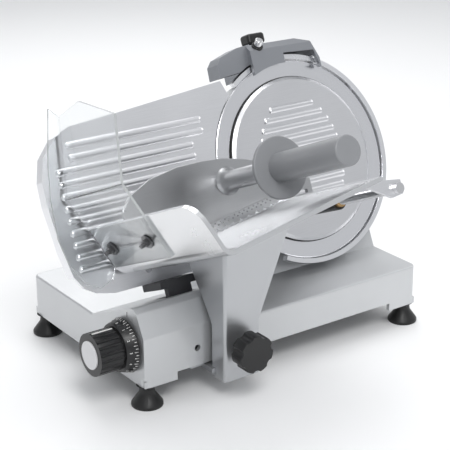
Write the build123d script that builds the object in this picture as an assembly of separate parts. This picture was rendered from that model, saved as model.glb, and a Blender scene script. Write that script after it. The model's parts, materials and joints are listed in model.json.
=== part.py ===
from build123d import *
from math import atan2, cos, degrees, hypot, radians, sin, sqrt
import os

# Millimetres. The layout is drawn from the base's front left bottom corner, with X along the
# carriage travel, +Y towards the motor side and Z up. SHIFT moves it all to the object's own frame.
SHIFT = (-194.75, -51.2, 26.0)

# base casting
BASE_L = 408.0
BASE_W = 261.0
BASE_H = 52.0
WALL = 5.0
SILL = 10.0
LEG = 44.0
BOX_L = 122.0

# slicing plane
TILT = 23.6
BLADE_X = 308.0
BLADE_Y = 112.0
BLADE_Z = 184.0
BLADE_R = 125.0
COVER_R = 104.0
RING_IN = 126.6
RING_OUT = 132.5
SUPPORT_R = 116.0
SUPPORT_FRONT = -26.0
SUPPORT_BACK = -52.0

# drive
SPINDLE_R = 8.0
TIE_R = 3.0
PULLEY_R = 34.0
MOTOR_PULLEY_R = 13.0
MOTOR_U = -62.0
MOTOR_R = 46.0
BELT_T = 2.5

# thickness control
THICKNESS = 13.0
DIAL_TURN = 300.0
DIAL_Y = 34.0
DIAL_Z = 44.0
DIAL_R = 32.5
GRIP_R = 25.0
CAM_R = 27.0
CAM_R0 = 10.0
PIN_R = 2.5
SLIDE_U = -234.0
SLIDE_V = -140.0
GUIDE_R = 6.0

# gauge plate
GAUGE_FRONT = 1.5
GAUGE_BACK = -3.5
GAUGE_CLEAR = 127.6

# carriage
ROD_R = 6.0
ROD_Z = 14.0
ROD_YS = (16.0, 62.0)
POST_X0 = 86.0
POST_W = 48.0
POST_FRONT = -34.0
POST_BACK = -8.5
FOOT_X = (82.0, 130.0)

# meat tray
TRAY_T = 5.0
TRAY_BACK = 9.0
TRAY_FRONT = 238.0
TRAY_CORNER = (-291.0, -84.0)
FLOOR_A = 9.75
FLOOR_L = 220.0
WALL_A = 23.4
WALL_H = 66.0
GUARD_T = 3.0

# meat press
PRESS_ROD = (-58.5, -59.0)
PRESS_ROD_R = 6.0
PRESS_AT = 70.0
HANDLE_AT = (-160.0, -7.0)

FOOT_H = 26.0
FOOT_IN = (10.0, 12.0)

S, C = sin(radians(TILT)), cos(radians(TILT))
PLANE = Plane(origin=(BLADE_X, BLADE_Y, BLADE_Z), x_dir=(1, 0, 0), z_dir=(0, -C, S)).location


def tilted(shape):
    """Moves a shape from slicing plane coordinates (across, up the plane, towards the tray)."""
    return PLANE * shape


def world(u, v, w):
    """Layout position of a slicing plane point."""
    return (BLADE_X + u, BLADE_Y + v * S - w * C, BLADE_Z + v * C + w * S)


def block(x0, x1, y0, y1, z0, z1):
    centre = Pos((x0 + x1) / 2, (y0 + y1) / 2, (z0 + z1) / 2)
    return centre * Box(x1 - x0, y1 - y0, z1 - z0)


def rod(r, z0, z1, x=0.0, y=0.0):
    return Pos(x, y, (z0 + z1) / 2) * Cylinder(r, z1 - z0)


def tube(r_out, r_in, z0, z1, x=0.0, y=0.0):
    return rod(r_out, z0, z1, x, y) - rod(r_in, z0 - 1, z1 + 1, x, y)


def rod_x(r, x0, x1, y, z):
    return Pos((x0 + x1) / 2, y, z) * Rot(0, 90, 0) * Cylinder(r, x1 - x0)


def rod_y(r, y0, y1, x, z):
    return Pos(x, (y0 + y1) / 2, z) * Rot(90, 0, 0) * Cylinder(r, y1 - y0)


def plate(points, z0, z1):
    """Polygon in the local XY plane, from z0 to z1."""
    return Pos(0, 0, z0) * extrude(make_face(Polyline(*points, close=True)), z1 - z0)


def across(points, x0, x1):
    """Polygon of (y, z) points, extruded along X."""
    face = make_face(Polyline(*[(0, y, z) for y, z in points], close=True))
    return Pos(x0, 0, 0) * extrude(face, x1 - x0, dir=(1, 0, 0))


def turned(points):
    """Revolves (radius, height) points about the local Z axis."""
    face = make_face(Polyline(*[(r, 0, z) for r, z in points], close=True))
    return revolve(face, Axis.Z)


def direction(angle):
    return cos(radians(angle)), sin(radians(angle))


# ---------------------------------------------------------------- base

BOX_PROFILE = [(0, 0), (0, 61), (8, 76), (14, 87), (24, 91.5), (114, 52), (114, 0)]
BOX_HOLLOW = [(5, -1), (5, 60), (12.5, 74), (17.5, 83), (24.5, 86), (101, 52), (101, -1)]


def support_outline(inset, v_low):
    """Outline of the blade support: a disc with a wide foot."""
    disc = rod(SUPPORT_R - inset, 0, 1)
    foot = plate([(-92 + inset, v_low), (100 - inset, v_low), (98 - inset, -60), (-90 + inset, -60)], 0, 1)
    return disc + foot


def base_casting():
    slab = block(0, BASE_L, 0, BASE_W, 0, BASE_H)
    slab = fillet(slab.edges().filter_by(Axis.Z), 9)
    slab = fillet(slab.edges().group_by(Axis.Z)[-1], 2.5)
    slab -= block(WALL, BASE_L - WALL, WALL, BASE_W - WALL, -1, BASE_H - WALL)
    slab -= block(LEG, BASE_L - LEG, -1, WALL + 1, -1, SILL)
    box = across(BOX_PROFILE, 0, BOX_L)
    box = fillet(box.edges().filter_by(Axis.X).sort_by(Axis.Z)[-4:], 5)
    box -= block(-1, LEG + 80, -1, 120, -1, SILL + 1)
    cavity = across(BOX_HOLLOW, WALL, BOX_L - WALL)
    body = slab + box
    support = Pos(0, 0, SUPPORT_BACK) * scale(support_outline(0, -150), by=(1, 1, 26))
    hollow = Pos(0, 0, SUPPORT_BACK - 1) * scale(support_outline(WALL, -150), by=(1, 1, 22))
    above = block(100, 440, 0, 300, BASE_H - 1, 400)
    body += tilted(support) & above
    body -= tilted(hollow) & block(100, 440, 0, 300, BASE_H, 400)
    body -= cavity
    body -= block(WALL, BASE_L - WALL, WALL, BASE_W - WALL, -1, BASE_H - WALL)
    body += tilted(rod(24, SUPPORT_FRONT - 6, -13) + rod(22, -40, SUPPORT_FRONT - 4))
    body -= tilted(rod(16, -41, -12.9))
    body += drive_screw_bosses() + cover_pillars()
    # bosses inside for the carriage rods, feet and the thickness shaft
    for y in ROD_YS:
        body += rod_x(10, WALL - 1, 6.8, y, ROD_Z + 1)
        body += rod_x(10, BASE_L - 6.8, BASE_L - WALL + 1, y, ROD_Z + 1)
        body -= rod_x(ROD_R, 3, BASE_L - 3, y, ROD_Z)
    body += rod_x(9, WALL - 1, 6.5, DIAL_Y, DIAL_Z)
    body -= rod_x(5.05, -1, 20, DIAL_Y, DIAL_Z)
    for x, y in foot_spots():
        body += block(*corner_span(x, BASE_L), *corner_span(y, BASE_W), 0, 8) & block(1, 407, 1, 260, -1, 9)
        body -= rod(3.2, -1, 9, x, y)
    # slot and bosses for the gauge carrier
    body -= tilted(plate([(-256, -131), (-212, -131), (-212, -110), (-256, -110)], 8, 32))
    rear = plate([(-250, -152), (-218, -152), (-218, -121), (-250, -121)], -46, -36)
    body += tilted(rear) & across([(0, 30), (0, 95), (24, 91), (114, 51), (114, 30)], 30, 120)
    front = plate([(-246, -152), (-222, -152), (-222, -124), (-246, -124)], 40, 60)
    body += tilted(front) & across(BOX_PROFILE, 30, 120)
    body -= tilted(rod(GUIDE_R, -46, 48, SLIDE_U, SLIDE_V))
    body -= rod_y(4, -1, WALL + 1, 72, 32)
    for x in (62.0, 100.0):
        body -= rod_y(8.3, BASE_W - WALL - 1, BASE_W + 1, x, 30)
    body -= rod_y(7, BASE_W - WALL - 1, BASE_W + 1, 330, 26)
    return body


def foot_spots():
    x, y = FOOT_IN
    return [(x, y), (BASE_L - x, y), (x, BASE_W - y), (BASE_L - x, BASE_W - y)]


def corner_span(value, size):
    """Span of a corner pad that reaches the nearest wall."""
    return (1.0, value + 14) if value < size / 2 else (value - 14, size - 1.0)


def rubber_feet():
    low = -FOOT_H
    profile = [(0, low), (18.5, low), (18.5, low + 3.5), (9.5, -10), (8.5, -3.5), (13, 0), (0, 0)]
    foot = turned(profile) - rod(3.2, -20, 1)
    return Compound(children=[Pos(x, y, 0) * foot for x, y in foot_spots()])


def bottom_cover():
    sheet = block(30, BASE_L - 30, 82, BASE_W - 7, 3, 4.5)
    for x, y in cover_screw_spots():
        sheet -= rod(2, 2, 5, x, y)
    return sheet


def cover_screw_spots():
    return [(x, y) for x in (38.0, BASE_L - 38) for y in (110.0, BASE_W - 16)]


def cover_pillars():
    """Cast pillars that the bottom cover screws into."""
    posts = None
    for x, y in cover_screw_spots():
        one = rod(5, 4.5, BASE_H - WALL + 1, x, y) - rod(2, 4, 20, x, y)
        posts = one if posts is None else posts + one
    return posts


def carriage_rods():
    return Compound(children=[rod_x(ROD_R, 3, BASE_L - 3, y, ROD_Z) for y in ROD_YS])


def gauge_guide_rod():
    return tilted(rod(GUIDE_R, -46, 48, SLIDE_U, SLIDE_V))


def drive_cover():
    inset = 0.5
    lid = Pos(0, 0, SUPPORT_BACK - 3) * scale(support_outline(inset, -150), by=(1, 1, 3))
    lid -= rod(10, SUPPORT_BACK - 4, SUPPORT_BACK + 1)
    lid -= rod(20, SUPPORT_BACK - 4, SUPPORT_BACK + 1, MOTOR_U, 0)
    for u, v in drive_screw_spots():
        lid -= rod(2, SUPPORT_BACK - 4, SUPPORT_BACK + 1, u, v)
    return tilted(lid) & block(100, 440, 0, 300, BASE_H + 0.5, 400)


def drive_screw_spots():
    return [(107 * direction(a)[0], 107 * direction(a)[1]) for a in (20, 75, 130)]


def casting_screws():
    """Screws of the feet, the bottom cover and the drive cover."""
    foot_screw = rod(3.2, -12, 7)
    cover_screw = rod(2, 3, 16) + rod(4, 1, 3)
    drive_screw = rod(2, SUPPORT_BACK - 3, SUPPORT_BACK + 10) + rod(4, SUPPORT_BACK - 5.5, SUPPORT_BACK - 3)
    screws = [Pos(x, y, 0) * foot_screw for x, y in foot_spots()]
    screws += [Pos(x, y, 0) * cover_screw for x, y in cover_screw_spots()]
    screws += [tilted(Pos(u, v, 0) * drive_screw) for u, v in drive_screw_spots()]
    return Compound(children=screws)


def drive_screw_bosses():
    """Threaded pillars in the blade support for the rear cover's screws."""
    bosses = None
    for u, v in drive_screw_spots():
        one = tube(5, 2, SUPPORT_BACK, SUPPORT_FRONT - 4, u, v)
        bosses = one if bosses is None else bosses + one
    return tilted(bosses)


def motor_housing():
    back = SUPPORT_BACK - 3
    shell = rod(MOTOR_R, back - 92, back, MOTOR_U, 0)
    shell = fillet(shell.edges().group_by(Axis.Z)[0], 14)
    cavity = rod(MOTOR_R - 3, back - 89, back + 1, MOTOR_U, 0)
    shell -= fillet(cavity.edges().group_by(Axis.Z)[0], 11)
    for k in range(-3, 4):
        x = MOTOR_U + k * 8
        half = sqrt(29**2 - (k * 8) ** 2)
        shell -= block(x - 1.5, x + 1.5, -half, half, back - 94, back - 88)
    return tilted(shell)


def motor_body():
    back = SUPPORT_BACK - 3
    stator = rod(39, back - 80, back - 8, MOTOR_U, 0)
    flange = rod(28, back - 8, back, MOTOR_U, 0)
    return tilted(stator + flange - rod(6.05, back - 70, back + 1, MOTOR_U, 0))


def motor_shaft():
    """Motor shaft with its pulley pressed on."""
    shaft = rod(6, SUPPORT_BACK - 60, -36, MOTOR_U, 0)
    return tilted(shaft + rod(MOTOR_PULLEY_R, -50, -42, MOTOR_U, 0))


def drive_belt():
    """Flat belt round both pulleys, as an outer loop less an inner loop."""
    def loop(extra):
        big, small = PULLEY_R + extra, MOTOR_PULLEY_R + extra
        lean = degrees(atan2(big - small, (MOTOR_U**2 - (big - small) ** 2) ** 0.5))
        top = 90 + lean
        pts = []
        ends = [(0, big, top), (MOTOR_U, small, top), (MOTOR_U, small, -top), (0, big, -top)]
        for centre, radius, a in ends:
            x, y = direction(a)
            pts.append((centre + radius * x, radius * y))
        return plate(pts, -49, -43) + rod(big, -49, -43) + rod(small, -49, -43, MOTOR_U, 0)

    return tilted(loop(0.3 + BELT_T) - loop(0.3))


def spindle_bearings():
    bearing = tube(16, SPINDLE_R, 0, 7)
    return tilted(Compound(children=[Pos(0, 0, -39) * bearing, Pos(0, 0, -21) * bearing]))


# ---------------------------------------------------------------- blade

def spindle():
    shaft = rod(SPINDLE_R, -51, -9) + rod(26, -12, -7)
    return tilted(shaft - rod(3.6, -52, 0)) - blade_screw_holes()


def spindle_pulley():
    return tilted(tube(PULLEY_R, SPINDLE_R, -50, -42))


def blade():
    section = [(9, -7), (9, -4), (96, -4), (103, -1.4)]
    section += [(BLADE_R - 0.8, 0), (BLADE_R, -0.5), (112, -4.6), (98, -7)]
    return tilted(turned(section)) - blade_screw_holes()


def blade_screws():
    screw = rod(2.1, -12, -4) + rod(3.8, -4, -1.6)
    spots = [direction(a) for a in range(45, 360, 90)]
    return tilted(Compound(children=[Pos(18 * x, 18 * y, 0) * screw for x, y in spots]))


def blade_screw_holes():
    holes = None
    for a in range(45, 360, 90):
        x, y = direction(a)
        hole = rod(2.1, -13, 0, 18 * x, 18 * y)
        holes = hole if holes is None else holes + hole
    return tilted(holes)


def blade_cover():
    edge = COVER_R
    section = [(0, 2.6), (edge - 6, 2.6), (edge - 3, 1), (edge, 1), (edge, 2.2), (edge - 4, 5), (0, 5)]
    disc = turned(section)
    for v, half in cover_ribs():
        disc += pressed_rib(-half, half, v, 4.6)
    return tilted(disc)


def cover_ribs():
    """Height up the plane and half length of each raised rib."""
    return [(v, 64 * sqrt(1 - (v / 80) ** 2)) for v in range(-42, 67, 12)]


def cover_tie_rod():
    return tilted(rod(TIE_R, -72, 2.6) + rod(9, 0.6, 2.6))


def cover_knob():
    knob = rod(13.5, -80, -62)
    for k in range(12):
        x, y = direction(k * 30)
        knob -= rod(2.2, -81, -61, 14.6 * x, 14.6 * y)
    collar = rod(7, -62, -56)
    return tilted(knob + collar - rod(TIE_R + 0.05, -72.3, -55))


def blade_ring_guard():
    """Arc round the covered part of the blade, open where it cuts."""
    ring = tube(RING_OUT, RING_IN, -6, 3.5)
    gap = [(0, 0)]
    for a in (125, 142, 159, 176, 193, 210, 227, 243):
        x, y = direction(a)
        gap.append((190 * x, 190 * y))
    ring -= plate(gap, -7, 5)
    for a in ring_lugs():
        x, y = direction(a)
        lug = rod(6.5, -25.8, 2, 121.5 * x, 121.5 * y) - rod(RING_IN, -6.1, 3)
        ring += lug - rod(2.1, -27, 4, 121.5 * x, 121.5 * y)
    ring -= rod(RING_IN, -7, 5)
    return tilted(ring)


def ring_lugs():
    return (-100, -32, 36)


# ---------------------------------------------------------------- sharpener

def sharpener_cover():
    lobe = [(-94, 117), (-93, 134), (-86, 142), (-60, 150), (-40, 152), (-40, 122)]
    left = plate(lobe, -20, 4)
    right = plate([(-46, 108), (-46, 151), (30, 150), (48, 143), (57, 120), (57, 108)], -58, 11)
    right = chamfer(right.edges().group_by(Axis.Z)[-1].sort_by(Axis.Y)[-1:], 8)
    inner_left = plate([(-90, 116), (-89, 133), (-84, 138.5), (-60, 147), (-40, 148), (-40, 116)], -16, 1)
    inner_right = plate([(-43, 100), (-43, 147), (29, 147), (46, 141), (53.5, 119), (53.5, 100)], -54, 8)
    inner_right = chamfer(inner_right.edges().group_by(Axis.Z)[-1].sort_by(Axis.Y)[-1:], 8)
    body = left + right
    body -= inner_left + inner_right
    body -= rod(121.5, -60, 12)
    body -= tube(135, 100, -8.5, 5.5)
    body -= plate([(3, 115), (3, 134), (50, 131), (55, 112)], 5, 12)
    body -= rod(118, -60, 12)
    body -= FRONT_BUTTON * rod(7.2, 0, 30)
    body -= rod(5.3, -60, -50, 8, 138)
    body -= SHARP_SCREW * Cylinder(3.3, 30)
    return tilted(body)


def sharpener_bracket():
    saddle = block(-40, -6, 100, 126, -51, -29) - rod(SUPPORT_R + 0.05, -60, 0)
    body = saddle + block(-26, -6, 120, 147, -51, -13)
    body -= rod(135.5, -28.9, 5)
    return tilted(body) - tilted(SHARP_SCREW * Cylinder(3.05, 80))


SHARP_SCREW = Pos(-16, 150, -20) * Rot(90, 0, 0)


def sharpener_knob():
    grip = block(-29, -3, 153, 167, -30, -10)
    grip = fillet(grip.edges(), 4)
    washer = Pos(-16, 152.2, -20) * Rot(90, 0, 0) * Cylinder(7, 1.6)
    shank = Pos(-16, 144.5, -20) * Rot(90, 0, 0) * Cylinder(3, 20)
    return tilted(grip + washer + shank)


FRONT_BUTTON = Pos(-31, 141, 0) * Rot(-40, 0, 0)


def button_collar():
    ring = fillet(tube(7.2, 5.3, 8.2, 11.4).edges().group_by(Axis.Z)[-1], 0.5)
    return tilted(FRONT_BUTTON * ring)


def front_button():
    return tilted(FRONT_BUTTON * (rod(5, 5, 20) + rod(2.2, -3, 5)))


def grinding_stone():
    return tilted(FRONT_BUTTON * rod(6.5, -6, -3))


def rear_button():
    return tilted(rod(5, -69, -57, 8, 138) + rod(2.2, -57, -44, 8, 138))


def honing_stone():
    return tilted(rod(7, -44, -41, 8, 138))


# ---------------------------------------------------------------- controls


def switch_plate():
    sheet = block(46, 116, BASE_W, BASE_W + 1.6, 14, 46)
    for x in (62.0, 100.0):
        sheet -= rod_y(8.3, BASE_W - 1, BASE_W + 3, x, 30)
    return sheet


def switch_body():
    box = block(48, 114, BASE_W - 45, BASE_W - WALL - 1, 14, 45)
    for x in (62.0, 100.0):
        box -= rod_y(8.3, BASE_W - 20, BASE_W, x, 30)
    return box + block(48, 114, BASE_W - WALL - 1, BASE_W - WALL, 40, 45)


def push_button(x):
    return rod_y(7.6, BASE_W - 14, BASE_W + 6, x, 30)


def cable_gland():
    inside = rod_y(6.9, BASE_W - WALL - 6, BASE_W, 330, 26)
    outside = rod_y(10, BASE_W, BASE_W + 6, 330, 26) + rod_y(6.5, BASE_W + 6, BASE_W + 14, 330, 26)
    return inside + outside - rod_y(3.8, BASE_W - 20, BASE_W + 20, 330, 26)


def knob_axis(r, x0, x1):
    return rod_x(r, x0, x1, DIAL_Y, DIAL_Z)


def thickness_shaft():
    return knob_axis(5, -44, 16)


def thickness_dial():
    face = make_face(Polyline((-18, 0), (-18, 28), (-4, DIAL_R), (-4, 0), close=True))
    cone = revolve(face, Axis.X)
    return Pos(0, DIAL_Y, DIAL_Z) * cone - knob_axis(5, -30, 0)


def thickness_grip():
    grip = knob_axis(GRIP_R, -49, -18)
    for k in range(20):
        y, z = direction(k * 18)
        grip -= rod_x(2.0, -48.9, -19, DIAL_Y + (GRIP_R + 0.6) * y, DIAL_Z + (GRIP_R + 0.6) * z)
    grip -= knob_axis(16.5, -50, -47.5)
    return grip - knob_axis(5, -44, -10)


def thickness_cap():
    return knob_axis(16.5, -51, -47.5)


def thickness_cam():
    """Face cam: its spiral groove draws the follower out by the plate's travel in one turn of the dial."""
    start = -TILT - 20
    inner, outer = [], []
    for k in range(0, 27):
        a = start + k * (DIAL_TURN + 29) / 26
        r = CAM_R0 + THICKNESS * (a + TILT) / DIAL_TURN
        y, z = direction(a)
        inner.append((0, (r - PIN_R - 0.3) * y, (r - PIN_R - 0.3) * z))
        outer.append((0, (r + PIN_R + 0.3) * y, (r + PIN_R + 0.3) * z))
    edges = [Spline(*inner), Line(inner[-1], outer[-1]), Spline(*outer[::-1]), Line(outer[0], inner[0])]
    groove = extrude(make_face(edges), 5, dir=(1, 0, 0))
    return knob_axis(CAM_R, 7, 15) - Pos(10.5, DIAL_Y, DIAL_Z) * groove - knob_axis(5, 6, 16)


# ---------------------------------------------------------------- gauge plate

GAUGE_OUTLINE = [
    (-93, 114.5), (-240, 101), (-306, 95.5), (-330, 86), (-349, 66), (-357, 40), (-358, 12),
    (-353, -40), (-347, -72), (-338, -86), (-322, -96), (-300, -101), (-70, -101), (-70, 90), (-86, 96),
]


def gauge_plate():
    sheet = plate(GAUGE_OUTLINE, GAUGE_BACK, GAUGE_FRONT)
    sheet -= rod(GAUGE_CLEAR, -10, 10)
    lip = plate([(-330, 86), (-349, 66), (-357, 40), (-358, 12), (-353, -40), (-347, -72), (-343, -70),
                 (-349, -40), (-354, 12), (-353, 40), (-346, 64), (-327, 82)], -14, GAUGE_BACK)
    cut = tube(138, GAUGE_CLEAR - 1, -8, 6) - plate(
        [(0, 0), (-160, 205), (-260, 205), (-260, -130), (-60, -200), (-60, -120)], -9, 7)
    body = sheet + lip - cut
    for v in range(-66, 88, 14):
        body += pressed_rib(-340 if v < 60 else -318, -150 if abs(v) < 60 else -132, v, GAUGE_FRONT)
    for u, v in gauge_screw_spots():
        body -= rod(2.5, -10, 10, u, v)
    return tilted(body)


def pressed_rib(u0, u1, v, face):
    """Rounded bar with ball ends that stands 2.6 mm out of a face."""
    r = 5.2
    bar = rod_x(r, u0 + r, u1 - r, v, 0) + Pos(u0 + r, v, 0) * Sphere(r) + Pos(u1 - r, v, 0) * Sphere(r)
    return Pos(0, 0, face + 2.6 - r) * bar & block(u0, u1, v - r, v + r, face - 2, face + 4)


def gauge_screw_spots():
    return [(-252, -84), (-216, -84)]


def gauge_bracket():
    back = block(-262, -206, -101, -40, GAUGE_BACK - 8, GAUGE_BACK)
    foot_part = block(-258, -210, -110, -101, GAUGE_BACK - 8, 31)
    stem = block(-250, -218, SLIDE_V + 12, -109, 23, 31)
    body = back + foot_part + stem
    for u, v in gauge_screw_spots():
        body -= rod(2.5, -20, 10, u, v)
    return tilted(body)


def gauge_screws():
    screw = rod(2.5, -11, GAUGE_FRONT) + rod(4.5, GAUGE_FRONT, GAUGE_FRONT + 1.6)
    return tilted(Compound(children=[Pos(u, v, 0) * screw for u, v in gauge_screw_spots()]))


def gauge_slide_block():
    """Carrier on the guide rod. Its pin is in line with the dial's axis along the plate's travel."""
    body = block(-249, -219, SLIDE_V - 18, SLIDE_V + 12, -3, 31)
    body -= rod(GUIDE_R + 0.05, -4, 32, SLIDE_U, SLIDE_V)
    v = (DIAL_Y - BLADE_Y) * S + (DIAL_Z - BLADE_Z) * C
    w = -(DIAL_Y - BLADE_Y) * C + (DIAL_Z - BLADE_Z) * S
    x, y, z = world(0, v, w - CAM_R0)
    return tilted(body) + rod_x(PIN_R, 11, BLADE_X - 248, y, z)


# ---------------------------------------------------------------- carriage


def carriage_block():
    body = block(66, 154, 6.5, 72, 4, 26)
    body += block(FOOT_X[0], FOOT_X[1], POST_BACK - 6, 10, 2, 8)
    for y in ROD_YS:
        body -= rod_x(8, 60, 160, y, ROD_Z)
    return body


def carriage_bushes():
    bushes = []
    for y in ROD_YS:
        for x in (66.0, 134.0):
            bushes.append(rod_x(8, x, x + 20, y, ROD_Z) - rod_x(ROD_R + 0.05, x - 1, x + 21, y, ROD_Z))
    return Compound(children=bushes)


def carriage_arm():
    x0, x1 = POST_X0, POST_X0 + POST_W
    outline = [(x0, -4), (x1, -4), (x1, 64), (x1 + 44, 172), (x0, 172)]
    front = extrude(make_face(Polyline(*[(x, -60, z) for x, z in outline], close=True)), 140, dir=(0, 1, 0))
    back = [(POST_BACK, -4), (POST_BACK, 60), (1.5, 76), (34, 118), (34, 172)]
    side = [(POST_FRONT, -4), *back, (POST_FRONT, 172)]
    body = front & across(side, x0 - 1, x1 + 60)
    floor = plate([(-400, -260), TRAY_CORNER, floor_point(260, 0), (260, -260)], -100, 300)
    body &= tilted(floor)
    body = fillet(body.edges().filter_by(Axis.Z).sort_by(Axis.X)[:1], 4)
    inner_back = [(POST_BACK - 5, 66), (-4, 79), (29, 121), (29, 200)]
    inside = [(POST_FRONT + 5, 66), *inner_back, (POST_FRONT + 5, 200)]
    hollow = across(inside, x0 + 5, x1 - 5)
    body -= hollow
    body -= rod_y(4.05, -60, 20, STAR_X, STAR_Z)
    body -= block(FOOT_X[0] - 5, FOOT_X[1], POST_BACK - 6, 10, 2, 8)
    return body


STAR_X = 109.0
STAR_Z = 38.0


def star_knob():
    body = rod_y(22.5, -65, -46, STAR_X, STAR_Z)
    for k in range(7):
        x, z = direction(k * 360 / 7 + 12)
        body -= rod_y(6.5, -68, -45, STAR_X + 26.4 * x, STAR_Z + 26.4 * z)
    return body + rod_y(11, -46, POST_FRONT - 1, STAR_X, STAR_Z) + rod_y(4, -40, -5, STAR_X, STAR_Z)


FLOOR_D = direction(FLOOR_A)
FLOOR_N = (-FLOOR_D[1], FLOOR_D[0])
WALL_D = (-sin(radians(WALL_A)), cos(radians(WALL_A)))
WALL_N = (WALL_D[1], -WALL_D[0])


def floor_point(along, up):
    u, v = TRAY_CORNER
    return (u + along * FLOOR_D[0] + up * FLOOR_N[0], v + along * FLOOR_D[1] + up * FLOOR_N[1])


def wall_point(along, inward):
    u, v = TRAY_CORNER
    return (u + along * WALL_D[0] + inward * WALL_N[0], v + along * WALL_D[1] + inward * WALL_N[1])


def inner_corner():
    spread = FLOOR_D[0] * WALL_N[0] + FLOOR_D[1] * WALL_N[1]
    rise = FLOOR_N[0] * WALL_N[0] + FLOOR_N[1] * WALL_N[1]
    return floor_point(TRAY_T * (1 - rise) / spread, TRAY_T)


def meat_tray():
    outline = [wall_point(WALL_H, 0), TRAY_CORNER, floor_point(FLOOR_L, 0), floor_point(FLOOR_L, TRAY_T),
               inner_corner(), wall_point(WALL_H, TRAY_T)]
    body = plate(outline, TRAY_BACK, TRAY_FRONT)
    edges = body.edges().filter_by(Axis.Z)
    body = fillet(nearest(edges, TRAY_CORNER), 15)
    body = fillet(nearest(body.edges().filter_by(Axis.Z), inner_corner()), 10)
    tip = wall_point(WALL_H, TRAY_T / 2)
    front = [e for e in body.edges() if abs(e.length - TRAY_T) < 0.01 and e.center().Z > TRAY_FRONT - 1]
    body = fillet(nearest(front, tip), 24)
    for u, v, w in guard_screw_spots():
        body -= guard_screw_place(u, v, w) * Cylinder(2.5, 30)
    return tilted(body)


def nearest(edges, point):
    """The one edge whose middle is nearest a point across the slicing plane."""
    return sorted(edges, key=lambda e: hypot(e.center().X - point[0], e.center().Y - point[1]))[:1]


def guard_screw_spots():
    u, v = wall_point(38, 0)
    return [(u, v, 36.0), (u, v, 118.0)]


def guard_screw_place(u, v, w):
    return Pos(u, v, w) * Rot(0, 0, degrees(atan2(WALL_N[1], WALL_N[0]))) * Rot(0, 90, 0)


def hand_guard():
    t = GUARD_T
    low, bend = 14.0, 108.0
    outline = [wall_point(low, 0), wall_point(bend, 0), wall_point(bend, -t), wall_point(low, -t)]
    lower = plate(outline, 6.8, 142)
    bu, bv = wall_point(bend, 0)
    lean, rise = direction(90 - 8.8)
    upper = []
    for s, off in ((-0.6, 0), (104, 0), (104, -t), (-0.2, -t)):
        upper.append((bu + s * lean + off * rise, bv + s * rise - off * lean))
    panel = plate(upper, 6.8, 142)
    trim = [(-10, 92), (4.5, 93), (62, 102), (142, 74), (160, 68), (160, 140), (-10, 140)]
    top = [(w, bv + h * rise) for w, h in trim]
    cutter = make_face(Polyline(*[(bu - 60, v, w) for w, v in top], close=True))
    panel -= extrude(cutter, 140, dir=(1, 0, 0))
    edge = [(-332, 119), (-348, 58), (-355.5, 19), (-358, -26), (-352, -58), (-338, -82), (-321, -91)]
    edge += [(-304, -85), wall_point(low, 0), wall_point(bend, 0), (bu + 90 * lean, bv + 92.5 * rise)]
    end_sheet = plate(edge, 6.8, 9.8)
    body = lower + panel + end_sheet
    for u, v, w in guard_screw_spots():
        body -= guard_screw_place(u, v, w) * Cylinder(2.5, 30)
    return tilted(body)


def guard_fasteners():
    """A screw, a large washer and a nut at each fixing of the hand guard."""
    screw = rod(2.5, -14, 5) + rod(4.5, 5, 8)
    nut = extrude(RegularPolygon(4.6, 6), 4)
    nut = tube(8, 2.5, -4.6, -3) + Pos(0, 0, -8.6) * nut - rod(2.5, -12, 0)
    places = [guard_screw_place(*spot) for spot in guard_screw_spots()]
    return tilted(Compound(children=[place * piece for place in places for piece in (screw, nut)]))


# ---------------------------------------------------------------- meat press


def press_rod():
    u, v = PRESS_ROD
    return tilted(rod(PRESS_ROD_R, 10, 244, u, v))


def rod_brackets():
    """Ears under the tray's edge that hold the two ends of the press rod."""
    u, v = PRESS_ROD
    tab = [floor_point(196, 0), floor_point(FLOOR_L, 0), (u + 8, v + 9), (u + 8, v - 7), (u - 8, v - 9)]
    bore = rod(PRESS_ROD_R, 0, 300, u, v)
    return tilted(Compound(children=[plate(tab, w, w + 5) - bore for w in (10, 233)]))


def press_bush():
    u, v = PRESS_ROD
    return tilted(tube(8, PRESS_ROD_R + 0.05, PRESS_AT - 12, PRESS_AT + 66, u, v))


def press_sleeve():
    u, v = PRESS_ROD
    body = rod(11, PRESS_AT - 8, PRESS_AT + 62, u, v)
    return tilted(body - rod(8.05, PRESS_AT - 9, PRESS_AT + 63, u, v))


def press_plate():
    pts = [(-300, -38), (-303, -14), (-290, 2), (-262, 15), (-224, 21.5), (-190, 22), (-160, 20), (-128, 13),
           (-100, 3), (-76, -9), (-58, -20)]
    low = [(-58, -30), (-74, -31), (-106, -37.5), (-190, -51), (-262, -63)]
    return tilted(plate(pts + low, PRESS_AT - 3, PRESS_AT))


def press_link():
    u, v = PRESS_ROD
    web = plate([(-74, -28), (-56, -20), (-44, -26), (-44, -50), (-51, -50.5), (-51, -38), (-72, -34)],
                PRESS_AT - 9, PRESS_AT - 3)
    lug = tube(15, 11, PRESS_AT - 8, PRESS_AT + 4, u, v) & block(-60, -40, -60, -40, 0, 200)
    return tilted(web + lug)


def grip_strip():
    """Toothed strip along the lower edge of the press plate."""
    a, b = (-262, -62.5), (-100, -36.2)
    along = (b[0] - a[0], b[1] - a[1])
    length = hypot(*along)
    d = (along[0] / length, along[1] / length)
    n = (-d[1], d[0])
    points = [(a[0] + 2 * n[0], a[1] + 2 * n[1]), (b[0] + 2 * n[0], b[1] + 2 * n[1])]
    count = 14
    step = length / count
    for k in range(count, 0, -1):
        for s, depth in ((k, -6), (k - 0.25, -9), (k - 0.75, -9)):
            points.append((a[0] + s * step * d[0] + depth * n[0], a[1] + s * step * d[1] + depth * n[1]))
    points.append((a[0] - 6 * n[0], a[1] - 6 * n[1]))
    return tilted(plate(points, PRESS_AT, PRESS_AT + 2))


def handle_axis(r, w0, w1):
    return rod(r, PRESS_AT + w0, PRESS_AT + w1, *HANDLE_AT)


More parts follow.
